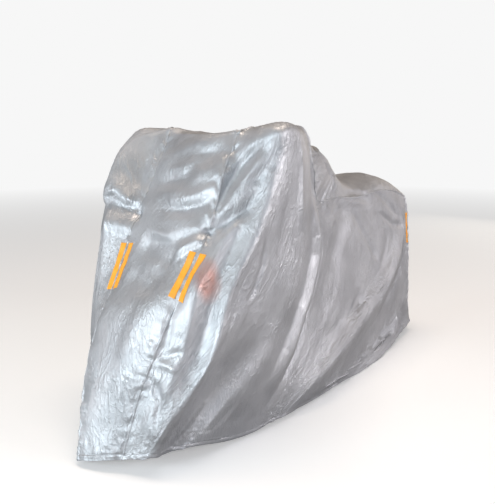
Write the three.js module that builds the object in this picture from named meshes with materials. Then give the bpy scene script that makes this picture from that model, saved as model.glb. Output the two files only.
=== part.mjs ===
// A fitted motorcycle cover, hollow, in the shape in which it hangs over a machine that is left out.
// Three sewn panels (left side, right side and one long centre strip) and eight reflective bars.
// Millimetres. +X is the machine's left, +Y its rear, +Z up.
import * as THREE from 'three';

// ---- driving dimensions -------------------------------------------------------------------------
const CLOTH = 2; // thickness of the coated cloth
const SEAM_GAP = 0.5; // space between the sewn edges of neighbouring panels
const BAR_INSET = 6; // seam to the near edge of a reflective bar
const BAR_WIDTH = 26; // width of one bar
const BAR_THICKNESS = 1;
const BAR_LIFT = 0.35; // space between a bar and the cloth that it is sewn to
const MIDDLE = [2, 31.7, 0.5]; // the plan centre and floor of the tables below, moved to the origin

// Fold lines of a side panel, front to rear. A row is one fold, and its points run from the long
// seam over the end of the handlebar, or the seat edge, to the hem. Each point is [x, y, z].
// Columns: seam, bar, shoulder, upper, middle, knee, lower, hem.
const LEFT_FOLDS = {
  frontSeam: [[200, -540, 1115], [200, -575, 1060], [200, -620, 1000], [200, -710, 795],
    [180, -830, 605], [155, -905, 455], [105, -965, 260], [70, -1015, 45]],
  frontCorner: [[205, -530, 1130], [230, -570, 1070], [245, -595, 1000], [225, -705, 785],
    [245, -835, 620], [240, -875, 430], [200, -930, 280], [95, -1005, 50]],
  hollow: [[205, -505, 1135], [320, -565, 1115], [320, -585, 1035], [300, -665, 840],
    [290, -775, 620], [280, -820, 440], [245, -890, 290], [140, -990, 55]],
  ridge: [[210, -480, 1140], [380, -545, 1145], [385, -545, 1045], [365, -620, 800],
    [335, -700, 600], [325, -760, 455], [270, -845, 295], [170, -960, 60]],
  softTrough: [[225, -425, 1140], [385, -475, 1155], [390, -455, 1040], [365, -480, 805],
    [350, -515, 585], [315, -605, 420], [255, -720, 270], [155, -885, 40]],
  softCrest: [[285, -250, 1130], [350, -335, 1090], [370, -370, 1020], [360, -355, 790],
    [350, -390, 565], [330, -490, 385], [300, -620, 245], [200, -810, 45]],
  curtain: [[300, -205, 990], [300, -205, 900], [305, -200, 805], [305, -215, 670],
    [315, -290, 495], [310, -395, 345], [295, -500, 205], [220, -670, 20]],
  valley: [[280, -140, 855], [280, -125, 790], [275, -110, 725], [275, -120, 605],
    [280, -185, 440], [285, -275, 290], [280, -380, 150], [245, -520, 10]],
  lightCrest: [[200, 130, 835], [205, 135, 775], [215, 140, 715], [240, 40, 575],
    [270, -75, 425], [290, -170, 275], [290, -280, 140], [255, -425, 15]],
  flank: [[180, 355, 820], [180, 415, 760], [180, 455, 690], [210, 330, 520],
    [255, 145, 365], [290, -70, 230], [295, -235, 120], [260, -360, 15]],
  longEdge: [[150, 685, 820], [145, 825, 720], [145, 890, 610], [185, 700, 435],
    [240, 355, 295], [290, 40, 195], [295, -155, 100], [265, -285, 15]],
  tuck: [[130, 840, 800], [135, 915, 705], [135, 960, 590], [155, 865, 395],
    [200, 585, 230], [235, 340, 115], [245, 185, 55], [250, 85, 10]],
  rearQuarter: [[120, 935, 775], [125, 970, 700], [130, 990, 610], [140, 970, 410],
    [160, 845, 230], [180, 725, 110], [200, 640, 50], [220, 585, 5]],
  rearSeam: [[115, 990, 755], [120, 1005, 705], [125, 1015, 635], [130, 1030, 490],
    [130, 1040, 340], [125, 1065, 205], [125, 1085, 130], [125, 1110, 50]],
};

// The right side panel hangs differently at its front, under the handlebar turned away from it.
const RIGHT_FRONT_FOLDS = {
  frontSeam: [[-200, -460, 1105], [-200, -510, 1015], [-200, -555, 945], [-200, -645, 805],
    [-190, -775, 585], [-180, -875, 450], [-150, -975, 250], [-85, -1070, 15]],
  frontCorner: [[-205, -450, 1120], [-250, -510, 1045], [-260, -560, 970], [-260, -660, 810],
    [-245, -780, 570], [-215, -865, 440], [-175, -940, 240], [-105, -1045, 10]],
  hollow: [[-205, -440, 1130], [-325, -505, 1085], [-340, -575, 1000], [-325, -675, 825],
    [-295, -775, 565], [-260, -835, 430], [-205, -890, 230], [-135, -1020, 15]],
  ridge: [[-210, -425, 1135], [-375, -505, 1090], [-385, -595, 975], [-360, -645, 810],
    [-330, -725, 590], [-295, -790, 425], [-240, -870, 225], [-170, -980, 20]],
  softTrough: [[-225, -400, 1130], [-380, -435, 1125], [-390, -420, 1025], [-365, -455, 800],
    [-345, -505, 585], [-305, -600, 420], [-245, -705, 260], [-150, -880, 20]],
};

// Behind its front the right side mirrors the left, with each fold moved along, out and up.
// Columns: along, out, up.
const RIGHT_SHIFTS = {
  softCrest: [35, 0, -4],
  curtain: [0, 0, 0],
  valley: [-10, 0, 0],
  lightCrest: [-35, 4, 0],
  flank: [-60, 4, 2],
  longEdge: [-70, -4, 6],
  tuck: [-10, -3, 10],
  rearQuarter: [20, 0, 6],
  rearSeam: [0, 0, 4],
};

// How the centre panel stands off the straight line between its two seams.
// Columns: place along the panel (0 front hem, 1 front top corner, 2 rear top corner, 3 rear hem),
// forward, up, squareness (small is boxy), dip in the middle.
const CROWN = [
  [0.00, 14, 0, 0.80, 0],
  [0.15, 22, 2, 0.80, 0],
  [0.30, 28, 5, 0.80, 0],
  [0.45, 28, 10, 0.80, 0],
  [0.60, 30, 10, 0.80, 0],
  [0.80, 26, 14, 0.80, 0],
  [0.92, 22, 10, 0.80, 0],
  [1.00, 14, 8, 0.80, 6],
  [1.15, 0, 0, 0.80, 24],
  [1.31, 0, 0, 0.80, 34],
  [1.38, 0, 0, 0.60, 36],
  [1.43, -75, 36, 0.45, 30],
  [1.46, -150, 105, 0.34, 34],
  [1.54, -235, 210, 0.34, 30],
  [1.62, -105, 122, 0.42, 10],
  [1.69, 0, 78, 0.70, 0],
  [1.77, 0, 70, 0.70, 0],
  [1.85, 0, 62, 0.70, 0],
  [1.92, -8, 50, 0.75, 0],
  [2.00, -25, 30, 0.80, 0],
  [2.30, -35, 5, 0.80, 0],
  [2.70, -30, 0, 0.80, 0],
  [3.00, -20, 0, 0.80, 0],
];

// Creases that cross the fold lines, pressed into or out of the cloth around a line of points.
// Columns: path, half width, depth (minus is inward), azimuth and elevation of the push.
const CREASES = [
  { path: [[-345, -645, 890], [-320, -660, 855], [-265, -655, 825], [-195, -645, 810]],
    width: 60, depth: -46, azimuth: 0, elevation: -10 },
  { path: [[-375, -625, 930], [-300, -625, 895], [-235, -620, 865]],
    width: 60, depth: 22, azimuth: 0, elevation: -10 },
  { path: [[-335, -695, 770], [-265, -675, 780], [-195, -665, 780]],
    width: 60, depth: 20, azimuth: -20, elevation: 10 },
  { path: [[-225, -580, 920], [-85, -615, 935], [55, -645, 945], [170, -655, 935]],
    width: 65, depth: -20, azimuth: 0, elevation: 10 },
  { path: [[-205, -535, 980], [5, -615, 985], [155, -630, 985]],
    width: 65, depth: 18, azimuth: 0, elevation: 10 },
  { path: [[-105, -655, 860], [55, -685, 860], [180, -690, 845]],
    width: 60, depth: -20, azimuth: 0, elevation: 10 },
  { path: [[5, -715, 800], [100, -715, 810], [190, -715, 795]],
    width: 55, depth: 22, azimuth: 0, elevation: 0 },
  { path: [[-120, -735, 715], [15, -780, 700], [125, -795, 680]],
    width: 90, depth: -26, azimuth: 0, elevation: 0 },
  { path: [[140, -815, 650], [80, -880, 565], [50, -940, 465], [45, -985, 365]],
    width: 80, depth: 16, azimuth: 10, elevation: 0 },
  { path: [[210, -705, 795], [270, -665, 855], [325, -620, 925], [360, -580, 1000]],
    width: 55, depth: -18, azimuth: 25, elevation: 0 },
  { path: [[255, -790, 340], [225, -825, 270], [180, -870, 240]],
    width: 55, depth: 16, azimuth: 30, elevation: 0 },
  { path: [[215, 195, 640], [250, 25, 515], [280, -140, 375]],
    width: 95, depth: -14, azimuth: 75, elevation: 0 },
  { path: [[-310, -370, 1135], [-270, -305, 1145], [-205, -265, 1140]],
    width: 120, depth: -34, azimuth: 0, elevation: 90 },
];

// Mesh lines: cells between neighbouring folds, cells from seam to hem, cells across the centre.
const CELLS_BETWEEN_FOLDS = [2, 2, 2, 2, 3, 2, 3, 3, 3, 3, 2, 1, 1];
const CELLS_DOWN = 17;
const CELLS_ACROSS = 5;

// Reflective bars: where each pair starts and ends, as shares of the way from top to hem.
const FRONT_LEFT_BARS = [0.478, 0.592];
const FRONT_RIGHT_BARS = [0.490, 0.598];
const REAR_BARS = [0.225, 0.415];

const SILVER = { color: 0xa9abb0, roughness: 0.42, metalness: 0.35 };
const ORANGE = { color: 0xff9a1f, roughness: 0.45, metalness: 0.0 };

// ---- small vector helpers -----------------------------------------------------------------------
const add = (a, b, s = 1) => [a[0] + s * b[0], a[1] + s * b[1], a[2] + s * b[2]];
const sub = (a, b) => add(a, b, -1);
const dot = (a, b) => a[0] * b[0] + a[1] * b[1] + a[2] * b[2];
const cross = (a, b) => [
  a[1] * b[2] - a[2] * b[1], a[2] * b[0] - a[0] * b[2], a[0] * b[1] - a[1] * b[0]];
const mix = (a, b, t) => a.map((v, i) => v + (b[i] - v) * t);
const unit = (a) => {
  const length = Math.hypot(...a) || 1;
  return a.map((v) => v / length);
};

// A smooth curve through rows of numbers, at place t from 0 to rows.length - 1.
function smooth(rows, t) {
  const last = rows.length - 1;
  const i = Math.min(Math.max(Math.floor(t), 0), last - 1);
  const f = t - i;
  const p1 = rows[i];
  const p2 = rows[i + 1];
  const p0 = i > 0 ? rows[i - 1] : p1.map((v, k) => 2 * v - p2[k]);
  const p3 = i + 2 <= last ? rows[i + 2] : p2.map((v, k) => 2 * v - p1[k]);
  const [h1, h2] = [2 * f ** 3 - 3 * f ** 2 + 1, -2 * f ** 3 + 3 * f ** 2];
  const [g1, g2] = [f ** 3 - 2 * f ** 2 + f, f ** 3 - f ** 2];
  return p1.map((v, k) => h1 * v + h2 * p2[k]
    + g1 * (p2[k] - p0[k]) / 2 + g2 * (p3[k] - p1[k]) / 2);
}

// ---- the draped surfaces ------------------------------------------------------------------------
function rightFolds() {
  const folds = { ...RIGHT_FRONT_FOLDS };
  for (const [name, [along, out, up]] of Object.entries(RIGHT_SHIFTS)) {
    folds[name] = LEFT_FOLDS[name].map(([x, y, z], column) => {
      const share = Math.min(1, column / 2); // the seam itself keeps its place
      return [-x - out * share, y + along * share, Math.max(2, z + up * share)];
    });
  }
  return Object.values(folds);
}

// A point of a side panel: u runs from the front seam to the rear seam, v from the top to the hem.
function sidePoint(folds, u, v) {
  const columns = folds[0].length;
  const across = [];
  for (let column = 0; column < columns; column += 1) {
    across.push(smooth(folds.map((fold) => fold[column]), u * (folds.length - 1)));
  }
  return smooth(across, v * (columns - 1));
}

// Every crease pushes the cloth near its path, most at the middle and least at its two ends.
function creased(point) {
  let moved = point;
  for (const { path, width, depth, azimuth, elevation } of CREASES) {
    let nearest = Infinity;
    let place = 0;
    for (let k = 0; k < path.length - 1; k += 1) {
      const along = sub(path[k + 1], path[k]);
      const t = Math.min(1, Math.max(0, dot(sub(point, path[k]), along) / dot(along, along)));
      const distance = Math.hypot(...sub(point, add(path[k], along, t)));
      if (distance < nearest) {
        nearest = distance;
        place = (k + t) / (path.length - 1);
      }
    }
    if (nearest >= width) continue;
    const profile = (1 - (nearest / width) ** 2) ** 2;
    const taper = Math.min(1, 0.25 + 4 * Math.min(place, 1 - place));
    const [a, e] = [azimuth, elevation].map(THREE.MathUtils.degToRad);
    const push = [Math.sin(a) * Math.cos(e), -Math.cos(a) * Math.cos(e), Math.sin(e)];
    moved = add(moved, push, depth * profile * taper);
  }
  return moved;
}

// The value of u at a distance, square to the seam, from one end of the panel.
function placeAtDistance(folds, v, distance, fromRear) {
  const end = fromRear ? 1 : 0;
  const step = fromRear ? -0.001 : 0.001;
  const seam = sidePoint(folds, end, v);
  const along = unit(sub(sidePoint(folds, end, v + 0.01), seam));
  let u = end;
  let away = 0;
  while (away < distance) {
    u += step;
    const offset = sub(sidePoint(folds, u, v), seam);
    away = Math.hypot(...add(offset, along, -dot(offset, along)));
  }
  return u;
}

// Even places from 0 to 1, with the nearest ones moved onto the ends of the bars.
function placesDown(marks) {
  const places = Array.from({ length: CELLS_DOWN + 1 }, (_, k) => k / CELLS_DOWN);
  for (const mark of marks) places[Math.round(mark * CELLS_DOWN)] = mark;
  return places;
}

// Places from the front to the rear seam: the edges of the bars, then even cells between folds.
// Rows above and below a pair of bars take the places of its nearest end.
function placesAlong(folds, frontV, rearV, frontMarks) {
  const beside = (v, marks) => Math.min(marks[1], Math.max(marks[0], v));
  const [near, far] = [BAR_INSET, BAR_INSET + BAR_WIDTH];
  const front = [near, far].map(
    (d) => placeAtDistance(folds, beside(frontV, frontMarks), d, false));
  const rear = [far, near].map((d) => placeAtDistance(folds, beside(rearV, REAR_BARS), d, true));
  const inner = [];
  const intervals = CELLS_BETWEEN_FOLDS.length;
  CELLS_BETWEEN_FOLDS.forEach((cells, k) => {
    for (let c = 0; c < cells; c += 1) inner.push((k + c / cells) / intervals);
  });
  const stretched = inner.slice(1).map((u) => front[1] + (rear[0] - front[1]) * u);
  return [0, ...front, ...stretched, ...rear, 1];
}

// A side panel as a grid of points, each row at one v, with rows blending from the marks of the
// front bars to the marks of the rear bars.
function sideGrid(folds, frontMarks) {
  const front = placesDown(frontMarks);
  const rear = placesDown(REAR_BARS);
  return front.map((_, row) => (
    placesAlong(folds, front[row], rear[row], frontMarks).map((u) => {
      const v = front[row] + (rear[row] - front[row]) * u;
      return creased(sidePoint(folds, u, v));
    })));
}

// The edge that a side panel shares with the centre panel, from the front hem to the rear hem.
function sharedEdge(grid) {
  const front = grid.map((row) => row[0]).reverse();
  const rear = grid.map((row) => row[row.length - 1]);
  return [...front, ...grid[0].slice(1, -1), ...rear];
}

// The place of each shared-edge point along the centre panel, from 0 to 3.
function placesOnEdge(folds) {
  const down = placesDown([]);
  const top = placesAlong(folds, 0, 0, FRONT_LEFT_BARS);
  return [...down, ...top.slice(1, -1).map((u) => 1 + u), ...down.map((v) => 2 + v)];
}

function crownAt(place) {
  let k = 0;
  while (k < CROWN.length - 2 && CROWN[k + 1][0] < place) k += 1;
  const f = (place - CROWN[k][0]) / (CROWN[k + 1][0] - CROWN[k][0]);
  return smooth(CROWN, k + Math.min(1, Math.max(0, f)));
}

// The centre panel: each row crosses from the right seam to the left seam.
function centreGrid(rightEdge, leftEdge, places) {
  return rightEdge.map((right, row) => {
    const left = leftEdge[row];
    const [, forward, up, squareness, dip] = crownAt(places[row]);
    const width = Math.hypot(...sub(left, right));
    const [near, far] = [BAR_INSET / width, (BAR_INSET + BAR_WIDTH) / width];
    const inner = Array.from({ length: CELLS_ACROSS - 1 },
      (_, k) => far + ((1 - 2 * far) * (k + 1)) / CELLS_ACROSS);
    return [0, near, far, ...inner, 1 - far, 1 - near, 1].map((w) => {
      const middle = 4 * w * (1 - w);
      const stand = middle > 0 ? middle ** squareness : 0;
      const flat = mix(right, left, w);
      if (w === 0 || w === 1) return flat;
      return creased([flat[0], flat[1] - forward * stand,
        flat[2] + up * stand - dip * middle ** 1.5]);
    });
  });
}

// ---- solids from grids --------------------------------------------------------------------------
// Unit normals at the points of a grid, each the mean of its cells' normals.
function gridNormals(grid, outward) {
  const cells = grid.slice(1).map((line, r) => line.slice(1).map((_, c) => (
    unit(cross(sub(grid[r + 1][c + 1], grid[r][c]), sub(grid[r][c + 1], grid[r + 1][c]))))));
  return grid.map((line, r) => line.map((_, c) => {
    let sum = [0, 0, 0];
    for (const row of cells.slice(Math.max(0, r - 1), r + 1)) {
      for (const normal of row.slice(Math.max(0, c - 1), c + 1)) sum = add(sum, normal);
    }
    return unit(sum).map((v) => v * outward);
  }));
}

// A closed sheet between two grids of points, the outer one given first.
function sheetGeometry(outer, inner, flip) {
  const rows = outer.length;
  const columns = outer[0].length;
  const count = rows * columns;
  const positions = [...outer.flat(), ...inner.flat()].flat();
  const index = [];
  const triangle = (a, b, c) => (flip ? index.push(a, c, b) : index.push(a, b, c));
  const at = (r, c) => r * columns + c;
  for (let r = 0; r < rows - 1; r += 1) {
    for (let c = 0; c < columns - 1; c += 1) {
      const [a, b, d, e] = [at(r, c), at(r + 1, c), at(r, c + 1), at(r + 1, c + 1)];
      triangle(a, b, e);
      triangle(a, e, d);
      triangle(count + a, count + e, count + b);
      triangle(count + a, count + d, count + e);
    }
  }
  const wall = (a, b) => {
    triangle(a, count + b, b);
    triangle(a, count + a, count + b);
  };
  for (let r = 0; r < rows - 1; r += 1) {
    wall(at(r, 0), at(r + 1, 0));
    wall(at(r + 1, columns - 1), at(r, columns - 1));
  }
  for (let c = 0; c < columns - 1; c += 1) {
    wall(at(0, c + 1), at(0, c));
    wall(at(rows - 1, c), at(rows - 1, c + 1));
  }
  const geometry = new THREE.BufferGeometry();
  geometry.setAttribute('position', new THREE.Float32BufferAttribute(positions, 3));
  geometry.setIndex(index);
  geometry.computeVertexNormals();
  return geometry;
}

function named(name, geometry, finish) {
  geometry.translate(-MIDDLE[0], -MIDDLE[1], -MIDDLE[2]);
  const mesh = new THREE.Mesh(geometry, new THREE.MeshStandardMaterial(finish));
  mesh.name = name;
  return mesh;
}

// Edge points drawn back from the seam, so that neighbouring panels stay a little apart.
function drawnBack(grid, edges) {
  const pull = SEAM_GAP / 2;
  const rows = grid.length;
  const columns = grid[0].length;
  const towards = (from, to) => add(from, unit(sub(to, from)), pull);
  return grid.map((line, r) => line.map((point, c) => {
    let moved = point;
    if (c === 0) moved = towards(moved, line[1]);
    if (c === columns - 1) moved = towards(moved, line[columns - 2]);
    if (r === 0 && edges.top) moved = add(moved, sub(towards(point, grid[1][c]), point));
    return moved;
  }));
}

function panel(name, grid, normals, edges, flip) {
  const outer = drawnBack(grid, edges);
  const inner = outer.map((line, r) => line.map((p, c) => add(p, normals[r][c], -CLOTH)));
  return named(name, sheetGeometry(outer, inner, flip), SILVER);
}

function bar(name, grid, normals, rows, columns, flip) {
  const patch = (lift) => grid.slice(rows[0], rows[1] + 1).map((line, r) => (
    line.slice(columns[0], columns[1] + 1).map((p, c) => (
      add(p, normals[rows[0] + r][columns[0] + c], lift)))));
  const solid = sheetGeometry(patch(BAR_LIFT + BAR_THICKNESS), patch(BAR_LIFT), flip);
  return named(name, solid, ORANGE);
}

// ---- assembly -----------------------------------------------------------------------------------
const leftFolds = Object.values(LEFT_FOLDS);
const left = sideGrid(leftFolds, FRONT_LEFT_BARS);
const right = sideGrid(rightFolds(), FRONT_RIGHT_BARS);
const centre = centreGrid(sharedEdge(right), sharedEdge(left), placesOnEdge(leftFolds));
const leftNormals = gridNormals(left, 1);
const rightNormals = gridNormals(right, -1);
const centreNormals = gridNormals(centre, -1);

// Sewn edges lean the same way on both of their panels.
function shareNormals(side, centreColumn) {
  const rows = side.length;
  const lastColumn = side[0].length - 1;
  const seats = [];
  for (let r = rows - 1; r >= 0; r -= 1) seats.push([r, 0]);
  for (let c = 1; c < lastColumn; c += 1) seats.push([0, c]);
  for (let r = 0; r < rows; r += 1) seats.push([r, lastColumn]);
  seats.forEach(([r, c], station) => {
    const shared = unit(add(side[r][c], centreNormals[station][centreColumn]));
    side[r][c] = shared;
    centreNormals[station][centreColumn] = shared;
  });
}
shareNormals(rightNormals, 0);
shareNormals(leftNormals, centre[0].length - 1);

const rowOf = (mark) => Math.round(mark * CELLS_DOWN);
const lastStation = centre.length - 1;
const sideColumns = left[0].length;
const centreColumns = centre[0].length;

// A pair of bars at each end of each seam: one on the side panel, one on the centre panel.
function barPair(end, side, grid, normals, marks, flip) {
  const rows = marks.map(rowOf);
  const onSide = end === 'front' ? [1, 2] : [sideColumns - 3, sideColumns - 2];
  const onCentre = side === 'right' ? [1, 2] : [centreColumns - 3, centreColumns - 2];
  const stations = end === 'front' ? [CELLS_DOWN - rows[1], CELLS_DOWN - rows[0]]
    : rows.map((row) => lastStation - CELLS_DOWN + row);
  return [
    bar(`bar_${end}_${side}_outer`, grid, normals, rows, onSide, flip),
    bar(`bar_${end}_${side}_inner`, centre, centreNormals, stations, onCentre, true),
  ];
}

const cover = new THREE.Group();
cover.add(
  panel('side_panel_left', left, leftNormals, { top: true }, false),
  panel('side_panel_right', right, rightNormals, { top: true }, true),
  panel('center_panel', centre, centreNormals, {}, true),
  ...barPair('front', 'left', left, leftNormals, FRONT_LEFT_BARS, false),
  ...barPair('front', 'right', right, rightNormals, FRONT_RIGHT_BARS, true),
  ...barPair('rear', 'left', left, leftNormals, REAR_BARS, false),
  ...barPair('rear', 'right', right, rightNormals, REAR_BARS, true),
);

export default cover;
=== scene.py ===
# The looks of a fitted motorcycle cover: three sewn panels of silver-coated cloth, which hang in
# folds over a machine that is left out, and eight orange reflective bars. The scene is in metres.
# The fold tables are in millimetres, as in the part's source, and to_frame() turns them into metres.
import math

import bpy
import mathutils
import numpy as np
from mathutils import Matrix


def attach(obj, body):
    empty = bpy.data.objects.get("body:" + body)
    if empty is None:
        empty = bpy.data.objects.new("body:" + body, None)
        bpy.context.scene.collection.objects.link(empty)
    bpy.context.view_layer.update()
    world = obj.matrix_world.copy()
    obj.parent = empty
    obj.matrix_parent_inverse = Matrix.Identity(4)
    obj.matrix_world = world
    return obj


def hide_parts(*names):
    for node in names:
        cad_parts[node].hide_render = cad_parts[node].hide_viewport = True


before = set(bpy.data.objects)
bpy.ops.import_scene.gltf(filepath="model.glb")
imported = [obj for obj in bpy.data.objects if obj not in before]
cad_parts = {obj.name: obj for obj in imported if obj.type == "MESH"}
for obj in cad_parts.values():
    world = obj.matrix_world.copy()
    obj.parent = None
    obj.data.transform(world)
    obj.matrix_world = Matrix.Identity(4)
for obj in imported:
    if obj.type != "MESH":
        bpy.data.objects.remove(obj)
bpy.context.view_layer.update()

# ---- the hanging shape, as in the part's source ----
MM = 0.001
MIDDLE = (2, 31.7, 0.5)  # the plan centre and floor of the tables, moved to the frame's origin

# Fold lines of a side panel, front to rear. A row is one fold, and its points run from the long
# seam over the end of the handlebar, or the seat edge, to the hem. Each point is [x, y, z].
# Columns: seam, bar, shoulder, upper, middle, knee, lower, hem.
LEFT_FOLDS = {
    "front seam": [[200, -540, 1115], [200, -575, 1060], [200, -620, 1000], [200, -710, 795],
        [180, -830, 605], [155, -905, 455], [105, -965, 260], [70, -1015, 45]],
    "front corner": [[205, -530, 1130], [230, -570, 1070], [245, -595, 1000], [225, -705, 785],
        [245, -835, 620], [240, -875, 430], [200, -930, 280], [95, -1005, 50]],
    "hollow": [[205, -505, 1135], [320, -565, 1115], [320, -585, 1035], [300, -665, 840],
        [290, -775, 620], [280, -820, 440], [245, -890, 290], [140, -990, 55]],
    "ridge": [[210, -480, 1140], [380, -545, 1145], [385, -545, 1045], [365, -620, 800],
        [335, -700, 600], [325, -760, 455], [270, -845, 295], [170, -960, 60]],
    "soft trough": [[225, -425, 1140], [385, -475, 1155], [390, -455, 1040], [365, -480, 805],
        [350, -515, 585], [315, -605, 420], [255, -720, 270], [155, -885, 40]],
    "soft crest": [[285, -250, 1130], [350, -335, 1090], [370, -370, 1020], [360, -355, 790],
        [350, -390, 565], [330, -490, 385], [300, -620, 245], [200, -810, 45]],
    "curtain": [[300, -205, 990], [300, -205, 900], [305, -200, 805], [305, -215, 670],
        [315, -290, 495], [310, -395, 345], [295, -500, 205], [220, -670, 20]],
    "valley": [[280, -140, 855], [280, -125, 790], [275, -110, 725], [275, -120, 605],
        [280, -185, 440], [285, -275, 290], [280, -380, 150], [245, -520, 10]],
    "light crest": [[200, 130, 835], [205, 135, 775], [215, 140, 715], [240, 40, 575],
        [270, -75, 425], [290, -170, 275], [290, -280, 140], [255, -425, 15]],
    "flank": [[180, 355, 820], [180, 415, 760], [180, 455, 690], [210, 330, 520],
        [255, 145, 365], [290, -70, 230], [295, -235, 120], [260, -360, 15]],
    "long edge": [[150, 685, 820], [145, 825, 720], [145, 890, 610], [185, 700, 435],
        [240, 355, 295], [290, 40, 195], [295, -155, 100], [265, -285, 15]],
    "tuck": [[130, 840, 800], [135, 915, 705], [135, 960, 590], [155, 865, 395],
        [200, 585, 230], [235, 340, 115], [245, 185, 55], [250, 85, 10]],
    "rear quarter": [[120, 935, 775], [125, 970, 700], [130, 990, 610], [140, 970, 410],
        [160, 845, 230], [180, 725, 110], [200, 640, 50], [220, 585, 5]],
    "rear seam": [[115, 990, 755], [120, 1005, 705], [125, 1015, 635], [130, 1030, 490],
        [130, 1040, 340], [125, 1065, 205], [125, 1085, 130], [125, 1110, 50]],
}

# The right side panel hangs differently at its front, under the handlebar turned away from it.
RIGHT_FRONT_FOLDS = {
    "front seam": [[-200, -460, 1105], [-200, -510, 1015], [-200, -555, 945], [-200, -645, 805],
        [-190, -775, 585], [-180, -875, 450], [-150, -975, 250], [-85, -1070, 15]],
    "front corner": [[-205, -450, 1120], [-250, -510, 1045], [-260, -560, 970], [-260, -660, 810],
        [-245, -780, 570], [-215, -865, 440], [-175, -940, 240], [-105, -1045, 10]],
    "hollow": [[-205, -440, 1130], [-325, -505, 1085], [-340, -575, 1000], [-325, -675, 825],
        [-295, -775, 565], [-260, -835, 430], [-205, -890, 230], [-135, -1020, 15]],
    "ridge": [[-210, -425, 1135], [-375, -505, 1090], [-385, -595, 975], [-360, -645, 810],
        [-330, -725, 590], [-295, -790, 425], [-240, -870, 225], [-170, -980, 20]],
    "soft trough": [[-225, -400, 1130], [-380, -435, 1125], [-390, -420, 1025], [-365, -455, 800],
        [-345, -505, 585], [-305, -600, 420], [-245, -705, 260], [-150, -880, 20]],
}

# Behind its front the right side mirrors the left, with each fold moved along, out and up.
RIGHT_SHIFTS = {
    "soft crest": [35, 0, -4],
    "curtain": [0, 0, 0],
    "valley": [-10, 0, 0],
    "light crest": [-35, 4, 0],
    "flank": [-60, 4, 2],
    "long edge": [-70, -4, 6],
    "tuck": [-10, -3, 10],
    "rear quarter": [20, 0, 6],
    "rear seam": [0, 0, 4],
}

# How the centre panel stands off the straight line between its two seams.
# Columns: place along the panel (0 front hem, 1 front top corner, 2 rear top corner, 3 rear hem),
# forward, up, squareness (small is boxy), dip in the middle.
CROWN = [
    [0.0, 14, 0, 0.8, 0],
    [0.15, 22, 2, 0.8, 0],
    [0.3, 28, 5, 0.8, 0],
    [0.45, 28, 10, 0.8, 0],
    [0.6, 30, 10, 0.8, 0],
    [0.8, 26, 14, 0.8, 0],
    [0.92, 22, 10, 0.8, 0],
    [1.0, 14, 8, 0.8, 6],
    [1.15, 0, 0, 0.8, 24],
    [1.31, 0, 0, 0.8, 34],
    [1.38, 0, 0, 0.6, 36],
    [1.43, -75, 36, 0.45, 30],
    [1.46, -150, 105, 0.34, 34],
    [1.54, -235, 210, 0.34, 30],
    [1.62, -105, 122, 0.42, 10],
    [1.69, 0, 78, 0.7, 0],
    [1.77, 0, 70, 0.7, 0],
    [1.85, 0, 62, 0.7, 0],
    [1.92, -8, 50, 0.75, 0],
    [2.0, -25, 30, 0.8, 0],
    [2.3, -35, 5, 0.8, 0],
    [2.7, -30, 0, 0.8, 0],
    [3.0, -20, 0, 0.8, 0],
]

# The broad creases, pressed into or out of the cloth around a line of points.
# Columns: path, half width, depth (minus is inward), azimuth and elevation of the push.
BROAD_CREASES = {
    "right grip overhang": ([[-345, -645, 890], [-320, -660, 855], [-265, -655, 825], [-195, -645, 810]],
        60, -20, 0, -10),
    "right grip bulge": ([[-375, -625, 930], [-300, -625, 895], [-235, -620, 865]], 60, 15, 0, -10),
    "ridge below the pinch": ([[-335, -695, 770], [-265, -675, 780], [-195, -665, 780]], 60, 20, -20, 10),
    "upper shelf": ([[-225, -580, 920], [-85, -615, 935], [55, -645, 945], [170, -655, 935]],
        65, -5, 0, 10),
    "upper roll": ([[-205, -535, 980], [5, -615, 985], [155, -630, 985]], 65, 4, 0, 10),
    "middle shelf": ([[-105, -655, 860], [55, -685, 860], [180, -690, 845]], 60, -5, 0, 10),
    "lower roll": ([[5, -715, 800], [100, -715, 810], [190, -715, 795]], 55, 5, 0, 0),
    "bar shelf": ([[-120, -735, 715], [15, -780, 700], [125, -795, 680]], 90, -26, 0, 0),
    "front light ridge": ([[140, -815, 650], [80, -880, 565], [50, -940, 465], [45, -985, 365]],
        80, 16, 10, 0),
    "pull to the left grip": ([[210, -705, 795], [270, -665, 855], [325, -620, 925], [360, -580, 1000]],
        55, -18, 25, 0),
    "pocket lip": ([[255, -790, 340], [225, -825, 270], [180, -870, 240]], 55, 16, 30, 0),
    "flank hollow": ([[215, 195, 640], [250, 25, 515], [280, -140, 375]], 95, -4, 75, 0),
    "far side of the top": ([[-310, -370, 1135], [-270, -305, 1145], [-205, -265, 1140]],
        120, -34, 0, 90),
}

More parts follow.
